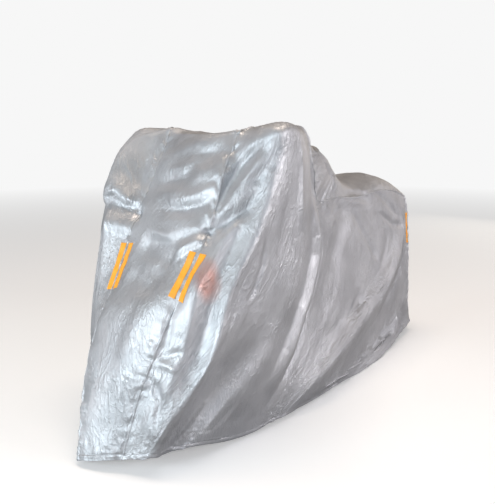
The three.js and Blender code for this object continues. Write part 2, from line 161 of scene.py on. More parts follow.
# Creases too fine for the solids. Same columns, with a sharpness: 0 is a soft trough, 1 a hard line.
FINE_CREASES = {
    # the front of the centre panel: shelves and wedges that rise to the left, and two stars
    "pinch of the right seam": ([[-205, -630, 825], [-175, -665, 795]], 34, -22, 0, 0, 0.6),
    "pinch of the left seam": ([[195, -705, 805], [205, -715, 775]], 36, -26, 20, 0, 0.6),
    "wedge 1": ([[-190, -540, 1000], [-80, -560, 1045], [120, -540, 1100]], 60, 14, 0, 20, 0.3),
    "wedge 2": ([[-130, -600, 920], [30, -620, 960], [95, -605, 1020], [170, -590, 1070]],
        60, -18, 0, 0, 0.5),
    "wedge 3": ([[-20, -655, 875], [100, -660, 905], [190, -650, 950]], 46, 8, 0, 0, 0.7),
    "wedge 4": ([[-60, -665, 830], [60, -680, 850], [150, -680, 880], [195, -665, 915]],
        46, -12, 0, 0, 0.6),
    "wedge 5": ([[-60, -735, 735], [60, -745, 745], [190, -715, 790]], 42, -10, 0, 0, 0.7),
    "shelf beside the bars": ([[-115, -795, 630], [10, -830, 625], [80, -825, 645]], 80, -18, 0, 0, 0.0),
    "pinch to the bars": ([[195, -720, 780], [135, -750, 745], [75, -790, 690], [45, -815, 655]],
        34, 16, 0, 0, 0.5),
    "fold to the star": ([[185, -845, 585], [175, -875, 520], [175, -900, 440], [155, -920, 385]],
        26, -9, 20, 0, 0.8),
    "star 1, inward": ([[155, -920, 385], [100, -935, 400], [50, -945, 410]], 24, -7, 10, 0, 0.8),
    "star 1, outward": ([[155, -920, 385], [200, -900, 410], [235, -880, 425]], 24, -9, 20, 0, 0.8),
    "star 1, down": ([[155, -920, 385], [195, -910, 375], [225, -900, 360]], 24, 8, 20, 0, 0.8),
    "star 1, up": ([[155, -920, 385], [135, -915, 425], [120, -915, 450]], 22, 6, 10, 0, 0.8),
    "star 2, inward": ([[150, -940, 320], [100, -950, 335], [60, -960, 340]], 24, -6, 10, 0, 0.8),
    "star 2, to the hem": ([[150, -940, 320], [185, -940, 265], [190, -945, 180]], 32, -12, 25, 0, 0.8),
    "star 2, down": ([[150, -940, 320], [90, -965, 290], [10, -990, 255]], 24, 6, 0, 0, 0.8),

    # the right side under its grip
    "lip of the hood": ([[-345, -635, 905], [-310, -625, 870], [-235, -625, 820]], 55, 8, -10, 10, 0.0),
    "outside of the hood": ([[-400, -580, 900], [-385, -625, 870], [-365, -650, 835]],
        70, 22, -80, 0, 0.0),
    "down the hood": ([[-265, -430, 1130], [-265, -510, 1040], [-255, -565, 955], [-235, -610, 860]],
        30, -7, -20, 0, 0.6),

    # from the left seam to the grip, and the long ridge below it
    "triangle, upper edge": ([[200, -710, 795], [230, -665, 850], [295, -625, 920], [365, -575, 975]],
        42, 16, 25, 10, 0.6),
    "triangle, middle": ([[215, -705, 790], [270, -665, 840], [345, -620, 885]], 46, -16, 25, 0, 0.3),
    "pull 2": ([[210, -695, 820], [245, -635, 915], [310, -600, 1005], [350, -570, 1065]],
        36, 14, 25, 0, 0.5),
    "pull 3": ([[210, -685, 835], [220, -630, 940], [255, -590, 1015], [330, -570, 1095]],
        34, -16, 25, 0, 0.5),
    "long ridge": ([[365, -575, 970], [355, -635, 825], [330, -695, 705], [315, -750, 585],
        [305, -785, 490], [295, -820, 390], [270, -860, 310], [230, -905, 220], [190, -950, 140]],
        46, 18, 50, 0, 0.5),
    "foot of the ridge": ([[165, -970, 95], [200, -935, 195], [225, -910, 245], [240, -885, 340]],
        80, 24, 15, 0, 0.4),
    "hollow beside the ridge": ([[335, -610, 905], [320, -665, 800], [300, -725, 715], [285, -780, 620],
        [280, -815, 510], [265, -850, 395], [240, -895, 290], [205, -930, 195]], 58, -22, 50, 0, 0.0),
    "beside the ridge": ([[365, -595, 785], [355, -600, 680], [345, -630, 600], [340, -655, 570]],
        24, -10, 60, 0, 0.9),
    "crease at the grip": ([[310, -260, 1095], [315, -240, 1000], [305, -215, 900], [300, -205, 850]],
        26, -10, 60, 10, 0.8),
    "fold beside the grip": ([[385, -440, 1100], [385, -400, 1010], [375, -390, 900], [365, -380, 790]],
        34, 10, 70, 10, 0.6),

    # the middle of the left side
    "curtain fold 1": ([[290, -180, 1045], [280, -110, 920], [255, -60, 800]], 28, -16, 60, 0, 0.5),
    "curtain fold 2": ([[290, -135, 1010], [265, -20, 890], [230, 25, 800]], 24, 12, 60, 0, 0.5),
    "edge of the curtain": ([[300, -215, 835], [295, -165, 730], [290, -155, 640], [300, -225, 515],
        [305, -285, 445], [305, -355, 300], [300, -440, 200]], 75, 32, 80, 0, 0.2),
    "valley": ([[285, -150, 835], [270, -90, 730], [265, -80, 640], [275, -145, 515], [285, -200, 445],
        [285, -270, 300], [285, -360, 200], [270, -450, 105]], 40, -12, 90, 0, 0.8),
    "hollow under the seat": ([[185, 285, 800], [215, 135, 675], [235, 30, 540]], 90, -12, 75, 0, 0.0),
    "edge of the flank": ([[145, 915, 535], [180, 745, 410], [215, 510, 305], [270, 190, 230],
        [295, -45, 175], [295, -210, 105]], 110, 34, 80, 20, 0.3),

    # the seat and the tail
    "seat edge": ([[180, 180, 850], [175, 345, 830], [165, 505, 790]], 40, -12, 60, 30, 0.2),
    "tail fan 1": ([[150, 535, 840], [155, 700, 760], [140, 910, 645]], 32, -10, 60, 10, 0.6),
    "tail fan 2": ([[160, 630, 705], [150, 795, 630], [135, 950, 610]], 28, -10, 60, 10, 0.6),
    "tail fan 3": ([[190, 300, 760], [190, 430, 630], [190, 585, 475]], 34, -9, 70, 10, 0.6),
}

# How round a sharp crease is, its share of its depth at its two ends, and how fast it deepens.
CREASE_ROUND, CREASE_END, CREASE_GROWTH = 0.01, 0.25, 4
FOLD_POINTS, LOWEST = 8, 2  # of a fold, and mm for the hem
DIP_SHAPE = 1.5  # of the dip in the middle of the centre panel: large is narrow

# The cloth as a grid of cells, and the panels' sizes that set how many there are.
CELL = 6.3 * MM
PROBES = 600  # along a panel, to measure it
LENGTH_ALONG, LENGTH_DOWN, WIDTH_ACROSS = 2.6, 1.15, 0.4
SEED, CRUMPLE_SEED = 7, 11

# Wrinkles that the slack cloth starts from, in mm. Columns: length down, length along, height.
WAVES = [[420, 110, 3.0], [200, 60, 1.5], [90, 32, 1.0], [40, 24, 0.6]]
PATCH = 260  # how far apart smooth and crumpled patches of the cloth lie, in mm
# The share of its wrinkles that a patch has. Columns: mean, spread, least, most.
WAVE_PATCHES, CRUMPLE_PATCHES = (0.7, 0.5, 0.15, 1.6), (0.7, 0.6, 0.25, 1.7)

# How slack the cloth is, as shares of its length: down and along a side panel, and down and
# across the centre panel. The seams and the elastic of the hem draw up more of it beside them.
SIDE_SLACK, CENTRE_SLACK = (0.006, 0.016), (0.010, 0.008)
SEAM_SLACK, SEAM_REACH = 0.04, 24 * MM
HEM_SLACK, HEM_REACH = 0.035, 45 * MM
START_PUCKER, START_SIZE = 0.8 * MM, (22, 34)

# Settling: bending stiffness along the main wrinkles, across them and at most. In each round the
# cloth follows a share of its pull, and loses a share of its way off the folds. A narrower cell
# than these shares of CELL counts as if it had that width.
STIFF, LIMP, STIFFEST = 0.05, 0.015, 0.22
PULL, HOLD, ROUNDS = 0.45, 0.0015, 120
NARROWEST_STIFF, NARROWEST_SLACK = 0.2, 0.3

# Sharp creases of the crumpled coating, in mm. Columns: length down, length along, depth.
CRUMPLES = [[170, 60, 1.7], [90, 34, 1.4], [50, 22, 0.9], [34, 16, 0.5]]
# How much deeper they are in the centre panel. Columns: metres from its front hem, and times.
CENTRE_CRUMPLED = [[0.0, 0.35], [0.7, 0.5], [1.0, 1.4], [1.6, 1.4], [2.0, 1.0]]
CRUMPLE_WIDTH, CRUMPLE_SHAPE = 0.24, 1.5  # share of the distance to the next, and sharpness

# Puckers beside the seams, and gathers above the elastic of the hem. Sizes are in mm, square to the
# edge and along it. A side panel is gathered at both ends of its hem, over a share of its length.
PUCKER_SIZE, PUCKER_DEPTH, PUCKER_REACH = (60, 17), 1.6 * MM, 34 * MM
GATHER_SIZE, GATHER_DEPTH, GATHER_REACH = (150, 16), 1.5 * MM, 70 * MM
SLACK_ENDS, GATHER_ENDS = (0.09, 0.12), (0.06, 0.10)
SLACK_BETWEEN = 0.1  # what is left of the slack between those ends

# The felled seam on the edge of a side panel, and the turned hem. Columns: distance from the edge
# and height of the cloth there, in mm.
SEAM_SECTION = [[0.0, 0.8], [0.7, 2.2], [1.5, 2.3], [3.6, 3.2], [5.7, 2.3], [6.6, 2.1], [8.2, 0.3],
                [11.5, 0.0]]
SEAM_STITCHES = (1.5, 5.7)
CENTRE_SECTION = [[0.0, 0.8], [0.9, 1.2], [2.0, 0.8], [3.6, 0.1], [8.5, 0.0]]
HEM_SECTION = [[0.0, 0.0], [1.5, 0.5], [5.0, 0.9], [11.0, 1.0], [17.0, 0.8], [20.0, -0.2],
               [22.5, 0.2], [28.0, 0.0]]
HEM_STITCHES = 20.0
HEM_DEPTH = 1.4 * MM  # how far the turned-in layer lies behind the outer one
HEM_TURN, HEM_DROP = (0.45, 0.85), 0.3 * MM  # shares of that at the turn, and how low it hangs

# A stitch from end to end. Columns: place and thickness as shares, and height in mm.
STITCH = [[-0.5, 0.6, -0.15], [-0.32, 1.0, 0.3], [0.32, 1.0, 0.3], [0.5, 0.6, -0.15]]
STITCH_PITCH, STITCH_LENGTH, THREAD = 5.0 * MM, 3.9 * MM, 0.55 * MM
THREAD_SIDES = 4

# The tape of the bars. Columns: place across it and thickness there, in mm.
TAPE_SECTION = [[0.0, 0.45], [0.4, 0.9], [1.6, 0.75], [2.6, 1.0], [7.0, 1.05], [13.0, 1.05],
                [19.0, 1.05], [23.4, 1.0], [24.4, 0.75], [25.6, 0.9], [26.0, 0.45]]
TAPE_STITCHES = (1.6, 24.4)
TAPE_ENDS = 0.7  # of its thickness, at both ends of a bar
TAPE_GAP, TAPE_CELL, TAPE_PROBES = 0.3 * MM, 3 * MM, 40
BAR_INSET = 8 * MM


# ---- curves, surfaces and creases ----
def curve_weights(t, count):
    """The first of the four rows that a smooth curve reads at place t, and their weights."""
    first = np.clip(np.floor(t).astype(int), 0, count - 2)
    f = t - first
    return first, [-f / 2 + f**2 - f**3 / 2, 1 - 2.5 * f**2 + 1.5 * f**3,
                   f / 2 + 2 * f**2 - 1.5 * f**3, (f**3 - f**2) / 2]


def with_ends(rows):
    """The rows with one more at each end, in a straight line with its neighbours."""
    return np.concatenate([[2 * rows[0] - rows[1]], rows, [2 * rows[-1] - rows[-2]]])


def surface(table, s, t):
    """A smooth surface through a table of points, at places s down its rows and t along them."""
    first_row, row_weights = curve_weights(s, table.shape[0])
    first_column, column_weights = curve_weights(t, table.shape[1])
    held = with_ends(with_ends(table).swapaxes(0, 1)).swapaxes(0, 1)
    return sum((a * b)[..., None] * held[first_row + i, first_column + j]
               for i, a in enumerate(row_weights) for j, b in enumerate(column_weights))


def walked(points, axis):
    """Distance walked from the first row or column of points to each of them."""
    steps = np.linalg.norm(np.diff(points, axis=axis), axis=-1)
    start = np.zeros_like(np.take(steps, [0], axis=axis))
    return np.concatenate([start, np.cumsum(steps, axis=axis)], axis=axis)


def unit(vectors):
    return vectors / np.maximum(np.linalg.norm(vectors, axis=-1, keepdims=True), 1e-12)


def grid_normals(grid, outward):
    return unit(np.cross(np.gradient(grid, axis=0), np.gradient(grid, axis=1)) * outward)


def to_frame(points):
    return (np.asarray(points, float) - MIDDLE) * MM


def nearest_on_path(points, path):
    """Distance from each point to a path, and the place along it from 0 to 1."""
    nearest = np.full(points.shape[:-1], np.inf)
    place = np.zeros(points.shape[:-1])
    for k, (start, end) in enumerate(zip(path, path[1:])):
        step = end - start
        t = np.clip((points - start) @ step / (step @ step), 0, 1)
        distance = np.linalg.norm(points - start - t[..., None] * step, axis=-1)
        closer = distance < nearest
        nearest = np.where(closer, distance, nearest)
        place = np.where(closer, (k + t) / (len(path) - 1), place)
    return nearest, place


def push_direction(azimuth, elevation):
    a, e = math.radians(azimuth), math.radians(elevation)
    return np.array([math.sin(a) * math.cos(e), -math.cos(a) * math.cos(e), math.sin(e)])


def creased(points, creases):
    """Every crease pushes the cloth near its path, most at the middle and least at its two ends."""
    moved = points.copy()
    for path, width, depth, azimuth, elevation, *sharpness in creases.values():
        nearest, place = nearest_on_path(points, to_frame(path))
        reach = np.clip(nearest / (width * MM), 0, 1)
        hard = sharpness[0] if sharpness else 0.0
        soft_line = (1 - reach**2) ** 2
        hard_line = np.clip(1 - np.sqrt(reach**2 + CREASE_ROUND), 0, 1) ** 2
        profile = (1 - hard) * soft_line + hard * hard_line
        taper = np.minimum(1, CREASE_END + CREASE_GROWTH * np.minimum(place, 1 - place))
        moved += (depth * MM * profile * taper)[..., None] * push_direction(azimuth, elevation)
    return moved


# ---- the grids of the three panels ----
def right_folds():
    """The right panel's folds: its own front, and behind it the left ones mirrored and shifted."""
    folds = [np.array(fold, float) for fold in RIGHT_FRONT_FOLDS.values()]
    share = np.minimum(1, np.arange(FOLD_POINTS) / 2)  # the seam itself keeps its place
    for name, (along, out, up) in RIGHT_SHIFTS.items():
        x, y, z = np.array(LEFT_FOLDS[name], float).T
        z = np.maximum(LOWEST, z + up * share)
        folds.append(np.stack([-x - out * share, y + along * share, z], -1))
    return np.array(folds)


def side_point(folds, u, v):
    """A point of a side panel: u runs from the front to the rear seam, v from the top to the hem."""
    return surface(folds, u * (folds.shape[0] - 1), v * (folds.shape[1] - 1))


def even_places(folds, along, size):
    """Places from 0 to 1 that cut a panel of that size into even cells, along u or down v."""
    fine, cross = np.linspace(0, 1, PROBES), np.linspace(0.1, 0.9, 9)
    u, v = np.meshgrid(fine, cross, indexing="ij")
    points = side_point(folds, u, v) if along else side_point(folds, v, u)
    distance = walked(points, 0).mean(1)
    return np.interp(np.linspace(0, distance[-1], round(size / CELL)), distance, fine)


def shared_edge(grid):
    """The edge that a side panel shares with the centre panel, from the front to the rear hem."""
    return np.concatenate([grid[::-1, 0], grid[0, 1:-1], grid[:, -1]])


def centre_grid(right_edge, left_edge, places):
    """Rows follow the panel from the front to the rear hem, each from the right to the left seam."""
    crown = np.array(CROWN, float)
    t = np.interp(places, crown[:, 0], np.arange(len(crown)))
    crown = surface(np.stack([crown, crown]), np.zeros_like(t), t)
    _, forward, up, squareness, dip = crown.T[..., None]
    w = np.linspace(0, 1, round(WIDTH_ACROSS / CELL))[None, :]
    middle = 4 * w * (1 - w)
    stand = middle**squareness
    grid = right_edge[:, None] + (left_edge - right_edge)[:, None] * w[..., None]
    grid[..., 1] -= forward * stand * MM
    grid[..., 2] += (up * stand - dip * middle**DIP_SHAPE) * MM
    return grid


def bare_panels():
    """The three panels with their folds and creases, and their rows' places down the seams."""
    left, right = np.array(list(LEFT_FOLDS.values()), float), right_folds()
    us, vs = even_places(left, True, LENGTH_ALONG), even_places(left, False, LENGTH_DOWN)
    places = np.concatenate([1 - vs[::-1], 1 + us[1:-1], 2 + vs])
    v, u = np.meshgrid(vs, us, indexing="ij")
    sides = [to_frame(side_point(folds, u, v)) for folds in (left, right)]
    centre = centre_grid(shared_edge(sides[1]), shared_edge(sides[0]), places)
    grids = [creased(creased(g, BROAD_CREASES), FINE_CREASES) for g in (*sides, centre)]
    return grids, vs, places


# ---- settling the cloth ----
def fading(distance, reach):
    return np.exp(-((distance / reach) ** 2))


class Cloth:
    """One panel as it hangs: where it would lie flat on its folds, and how slack and stiff it is."""

    def __init__(self, grid, outward, is_side, rng):
        self.base, self.outward, self.is_side = grid, outward, is_side
        self.down, self.along = walked(grid, 0), walked(grid, 1)
        patches = self.patches(rng, *WAVE_PATCHES)
        relief = sum(height * MM * self.uneven(rng, *self.turned(size))
                     for *size, height in WAVES) * patches

        # the seams draw the cloth up along them, and the elastic draws up both ends of the hem
        beside = self.beside_seams(SEAM_REACH)
        gathered = self.at_hem(HEM_REACH, SLACK_ENDS, SLACK_BETWEEN)
        slack_down, slack_along = SIDE_SLACK if is_side else CENTRE_SLACK
        self.slack_down = slack_down * patches + SEAM_SLACK * beside
        self.slack_along = slack_along * patches
        if is_side:
            under = fading(self.down, SEAM_REACH)
            self.slack_along = self.slack_along + SEAM_SLACK * under
            beside = np.maximum(beside, under)
        self.slack_along = self.slack_along + HEM_SLACK * gathered
        pucker = self.uneven(rng, *START_SIZE) + self.uneven(rng, *START_SIZE[::-1])
        relief = relief + START_PUCKER * pucker * np.maximum(beside, gathered)
        self.state = grid + relief[..., None] * grid_normals(grid, outward)

        # narrow cells are stiffer, so that the wrinkles have one size all over
        stiff, limp = self.turned((STIFF, LIMP))
        deep, wide = (np.gradient(d, axis=k) / CELL for k, d in enumerate((self.down, self.along)))
        self.bend_down, self.bend_along = (
            np.clip(bending / np.maximum(size, NARROWEST_STIFF) ** 2, 0, STIFFEST)[..., None]
            for bending, size in ((stiff, deep), (limp, wide)))
        narrow = np.clip(wide, NARROWEST_SLACK, 1) ** 2
        self.slack_along = self.slack_along * narrow
        if not is_side:
            self.slack_down = self.slack_down * narrow

    def turned(self, pair):
        """The main wrinkles run down a side panel, and across the centre panel."""
        return pair if self.is_side else pair[::-1]

    def uneven(self, rng, length_down, length_along):
        """Smooth random relief, about one rise or fall in each stretch of that length in mm."""
        rows = 1 + self.down / (length_down * MM)
        columns = 1 + self.along / (length_along * MM)
        knots = rng.standard_normal((int(rows.max()) + 4, int(columns.max()) + 4))
        return surface(knots[..., None], rows, columns)[..., 0]

    def patches(self, rng, mean, spread, least, most):
        return np.clip(mean + spread * self.uneven(rng, PATCH, PATCH), least, most)

    def beside_seams(self, reach):
        return fading(np.minimum(self.along, self.along[:, -1:] - self.along), reach)

    def at_hem(self, reach, ends, between=0.0):
        """1 at the hem, fading up from it, and on a side panel only that much between its ends."""
        from_bottom = self.down[-1:] - self.down
        if not self.is_side:
            return fading(np.minimum(self.down, from_bottom), reach)
        u = np.linspace(0, 1, self.down.shape[1])[None, :]
        at_ends = np.maximum(fading(u, ends[0]), fading(1 - u, ends[1]))
        return (between + (1 - between) * at_ends) * fading(from_bottom, reach)


LINKS = ((0, 1), (1, 0), (1, 1), (1, -1))


def linked(grid, down, along):
    """The two ends of every link of a grid that goes that many cells down and along."""
    if along >= 0:
        return grid[: grid.shape[0] - down, : grid.shape[1] - along], grid[down:, along:]
    return grid[: grid.shape[0] - down, -along:], grid[down:, :along]


def rest_lengths(cloth):
    lengths = []
    for down, along in LINKS:
        a, b = linked(cloth.base, down, along)
        slack = (cloth.slack_down * down + cloth.slack_along * abs(along)) / (down + abs(along))
        lengths.append(np.linalg.norm(b - a, axis=-1) * (1 + linked(slack, down, along)[0]))
    return lengths


def settle(cloths):
    """Lets the slack cloth buckle into wrinkles about where it hangs, sewn along its seams."""
    rest = [rest_lengths(cloth) for cloth in cloths]
    for _ in range(ROUNDS):
        for cloth, lengths in zip(cloths, rest):
            move = np.zeros_like(cloth.state)
            for (down, along), length in zip(LINKS, lengths):
                a, b = linked(cloth.state, down, along)
                step = b - a
                size = np.maximum(np.linalg.norm(step, axis=-1), 1e-9)
                pull = (0.5 * (1 - length / size))[..., None] * step
                start, end = linked(move, down, along)
                start += pull
                end -= pull
            off = cloth.state + PULL * move - cloth.base
            bend = np.zeros_like(off)
            bend[1:-1] += cloth.bend_down[1:-1] * (off[2:] + off[:-2] - 2 * off[1:-1])
            sideways = off[:, 2:] + off[:, :-2] - 2 * off[:, 1:-1]
            bend[:, 1:-1] += cloth.bend_along[:, 1:-1] * sideways
            cloth.state = cloth.base + (off + bend) * (1 - HOLD)
        sew(*(cloth.state for cloth in cloths))


def sew(left, right, centre):
    """Brings the edges of the side panels and the centre panel together along both seams."""
    for side, column in ((right, 0), (left, -1)):
        middle = (shared_edge(side) + centre[:, column]) / 2
        rows = side.shape[0]
        centre[:, column] = middle
        side[:, 0] = middle[:rows][::-1]
        side[0, 1:-1] = middle[rows:-rows]
        side[:, -1] = middle[-rows:]


def crumple(cloths):
    """Presses broken lines of sharp creases into the settled cloth, and puckers its edges."""
    rng = np.random.default_rng(CRUMPLE_SEED)
    for cloth in cloths:
        relief = np.zeros(cloth.down.shape)
        patches = cloth.patches(rng, *CRUMPLE_PATCHES)
        for *size, depth in CRUMPLES:
            size = cloth.turned(size)
            lines = 1 - np.abs(cloth.uneven(rng, *size)) / CRUMPLE_WIDTH
            broken = np.clip(cloth.uneven(rng, *size), -1, 1)
            relief += depth * MM * np.clip(lines, 0, 1) ** CRUMPLE_SHAPE * broken
        relief *= patches
        if not cloth.is_side:
            relief *= np.interp(cloth.down, *np.array(CENTRE_CRUMPLED).T)
        beside = cloth.beside_seams(PUCKER_REACH)
        relief += PUCKER_DEPTH * beside * cloth.uneven(rng, *PUCKER_SIZE[::-1])
        if cloth.is_side:
            under = fading(cloth.down, PUCKER_REACH)
            relief += PUCKER_DEPTH * under * cloth.uneven(rng, *PUCKER_SIZE)
        at_hem = cloth.at_hem(GATHER_REACH, GATHER_ENDS)
        relief += GATHER_DEPTH * at_hem * cloth.uneven(rng, *GATHER_SIZE)
        cloth.state = cloth.state + relief[..., None] * grid_normals(cloth.state, cloth.outward)
    sew(*(cloth.state for cloth in cloths))


# ---- seams, hems and meshes ----
ALONG, DOWN, PLACE = 3, 4, 5  # of a finished grid, after x, y and z: metres, metres, and place


def with_edge_lines(grid, first, last):
    """The grid with extra columns at those distances from its first edge and from its last one."""
    columns = np.arange(grid.shape[1])
    lines = []
    for distance in walked(grid[..., :3], 1):
        start = np.interp(first or [0], distance, columns)
        end = np.interp(distance[-1] - np.array(last or [0])[::-1], distance, columns)
        inner = np.linspace(start[-1], end[0], len(columns))[1:-1]
        lines.append(np.concatenate([start, inner, end]))
    down = np.arange(len(grid))[:, None] + np.zeros(len(lines[0]))
    return surface(grid, down, np.array(lines))


def from_edges(count, first, last):
    """How far each of that many lines lies from its edge. Lines far from an edge say infinity."""
    away = np.full(count, np.inf)
    away[: len(first)] = first
    away[count - len(last):] = last[::-1]
    return away


class Panel:
    """A settled panel as a fine grid, with its seam allowances, its turned hem and its stitches."""

    def __init__(self, cloth, places):
        self.outward, self.is_side = cloth.outward, cloth.is_side
        grid = cloth.state
        along, down = walked(grid, 1), walked(grid, 0)
        place = np.broadcast_to(places[:, None], along.shape)
        grid = np.concatenate([grid, np.stack([along, down, place], -1)], axis=-1)
        section = SEAM_SECTION if self.is_side else CENTRE_SECTION
        seam, hem = ([distance * MM for distance, _ in s] for s in (section, HEM_SECTION))
        grid = with_edge_lines(grid, seam, seam)
        across = from_edges(grid.shape[1], seam, seam)
        grid = grid.swapaxes(0, 1)
        if self.is_side:
            grid = with_edge_lines(with_edge_lines(grid, seam, []), [], hem)
        else:
            grid = with_edge_lines(grid, hem, hem)
        count = grid.shape[1]
        top = from_edges(count, seam if self.is_side else [], [])
        self.hem_distance = from_edges(count, [] if self.is_side else hem, hem)
        self.seam_distance = np.minimum(across[None, :], top[:, None])
        height = np.interp(self.seam_distance, *np.array(section).T * MM)
        height += np.interp(self.hem_distance, *np.array(HEM_SECTION).T * MM)[:, None]
        self.grid = grid.swapaxes(0, 1)
        self.normals = grid_normals(self.grid[..., :3], self.outward)
        self.grid[..., :3] += height[..., None] * self.normals

    def turned_hem(self, step):
        """The layer turned up behind a hem, from its edge: of the first rows, or the last ones."""
        grid, normals = self.grid[::step], self.normals[::step]
        index = [0, *range(len(HEM_SECTION) - 1)]
        depth = np.full(len(index), HEM_DEPTH)
        depth[: len(HEM_TURN)] *= HEM_TURN
        layer = grid[index]
        layer[..., :3] -= depth[:, None, None] * normals[index]
        layer[..., DOWN] += 2 * (grid[0, :, DOWN] - layer[..., DOWN])
        layer[0, :, 2] -= HEM_DROP
        return layer

    def sheet(self):
        """The whole sheet: the outer layer, and at each hem the layer turned up behind it."""
        first = [] if self.is_side else [self.turned_hem(1)[::-1]]
        return np.concatenate([*first, self.grid, self.turned_hem(-1)])

    def seam_paths(self, distance):
        """Lines of points and normals at one distance from the panel's seams, for the thread."""
        near = np.isclose(self.seam_distance, distance * MM)
        beyond = self.seam_distance >= distance * MM - 1e-9
        row = np.flatnonzero(near[:, near.shape[1] // 2])[0]
        columns = np.flatnonzero(near[near.shape[0] // 2])[[0, -1]]
        lines = [*((beyond[:, column], column) for column in columns), (row, beyond[row])]
        return [(self.grid[line][:, :3], self.normals[line]) for line in lines]

    def hem_paths(self):
        rows = np.flatnonzero(np.isclose(self.hem_distance, HEM_STITCHES * MM))
        return [(self.grid[row, :, :3], self.normals[row]) for row in rows]


def new_piece(name, points, faces, material, uv=None):
    """A smooth mesh piece in the frame, from arrays of points and of faces with four corners."""
    mesh = bpy.data.meshes.new(name)
    mesh.from_pydata(points, [], faces, shade_flat=False)
    if uv is not None:
        layer = mesh.uv_layers.new(name="cloth")
        layer.data.foreach_set("uv", uv[faces.ravel()].astype(np.float32).ravel())
    mesh.materials.append(material)
    piece = bpy.data.objects.new(name, mesh)
    bpy.context.scene.collection.objects.link(piece)
    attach(piece, "root")
    return piece


def grid_faces(rows, columns, flip):
    index = np.arange(rows * columns).reshape(rows, columns)
    faces = np.stack([index[:-1, :-1], index[1:, :-1], index[1:, 1:], index[:-1, 1:]], -1)
    faces = faces.reshape(-1, 4)
    return faces[:, ::-1] if flip else faces


def cloth_piece(name, panel, material):
    sheet = panel.sheet()
    faces = grid_faces(*sheet.shape[:2], panel.outward < 0)
    flat = sheet.reshape(-1, sheet.shape[-1])
    return new_piece(name, flat[:, :3], faces, material, flat[:, [ALONG, DOWN]])


def along_line(values, reach, distances):
    """Rows of three values, known at each reach of a line, at other distances along it."""
    return np.stack([np.interp(distances, reach, values[:, k]) for k in range(3)], -1)


def stitches(name, paths, material):
    """Thread as one mesh: short rounded stitches, evenly spaced along lines on the cloth."""
    angles = np.arange(THREAD_SIDES) * math.tau / THREAD_SIDES
    corners = len(STITCH) * THREAD_SIDES
    lines = []
    for points, normals in paths:
        reach = walked(points, 0)
        middles = np.arange(STITCH_PITCH, reach[-1] - STITCH_PITCH, STITCH_PITCH)
        forward = unit(along_line(points, reach, middles + MM)
                       - along_line(points, reach, middles - MM))
        side = unit(np.cross(forward, along_line(normals, reach, middles)))
        up = np.cross(side, forward)
        rings = []
        for place, size, height in STITCH:
            centres = along_line(points, reach, middles + place * STITCH_LENGTH) + height * MM * up
            rings += [centres + size * THREAD / 2 * (math.cos(angle) * side + math.sin(angle) * up)
                      for angle in angles]
        lines.append(np.stack(rings, 1))
    points = np.concatenate(lines).reshape(-1, 3)
    last = corners - THREAD_SIDES
    one = [[ring + k, ring + after, ring + after + THREAD_SIDES, ring + k + THREAD_SIDES]
           for ring in range(0, last, THREAD_SIDES) for k, after in enumerate([1, 2, 3, 0])]
    one += [[3, 2, 1, 0], [last, last + 1, last + 2, last + 3]]
    first = np.arange(0, len(points), corners)[:, None, None]
    return new_piece(name, points, (first + np.array(one)).reshape(-1, 4), material)


# ---- the reflective bars ----
def on_grid(table, rows, columns):
    """Values of a grid at places between its points, on the flat faces between them."""
    r = np.clip(np.floor(rows).astype(int), 0, table.shape[0] - 2)
    c = np.clip(np.floor(columns).astype(int), 0, table.shape[1] - 2)
    a, b = (rows - r)[..., None], (columns - c)[..., None]
    near = table[r, c] * (1 - b) + table[r, c + 1] * b
    far = table[r + 1, c] * (1 - b) + table[r + 1, c + 1] * b
    return near * (1 - a) + far * a


def bar_surface(panel, from_end, first_place, last_place, widen):
    """Points and normals of the cloth under a bar, square to the seam at the panel's edge."""
    grid, normals = panel.grid, panel.normals
    if from_end:
        grid, normals = grid[:, ::-1], normals[:, ::-1]
    cloth, columns = grid[..., :3], np.arange(grid.shape[1])
    span = np.sort(np.interp([first_place, last_place], grid[:, 0, PLACE], np.arange(len(grid))))

    def seam(rows):
        return on_grid(cloth, rows, np.zeros(1))

    length = walked(seam(np.linspace(*span, TAPE_PROBES)), 0)[-1]
    rows = np.linspace(*span, round(length / TAPE_CELL))
    tangent = seam(rows + 1) - seam(rows - 1)
    per_row = np.linalg.norm(tangent, axis=-1) / 2
    tangent /= 2 * per_row[:, None]

    # how far each point of the cloth lies along the seam and away from it, beside each row
    off = on_grid(cloth, rows[:, None], columns)
    off = off - off[:, :1]
    slide = np.einsum("rck,rk->rc", off, tangent)
    away = np.linalg.norm(off - slide[..., None] * tangent[:, None], axis=-1)
    distances = BAR_INSET + widen * np.array([place for place, _ in TAPE_SECTION]) * MM
    across = np.stack([np.interp(distances, line, columns) for line in away])
    drift = np.stack([np.interp(at, columns, line) for at, line in zip(across, slide)])
    down = rows[:, None] - drift / per_row[:, None]
    return on_grid(cloth, down, across), on_grid(normals, down, across)


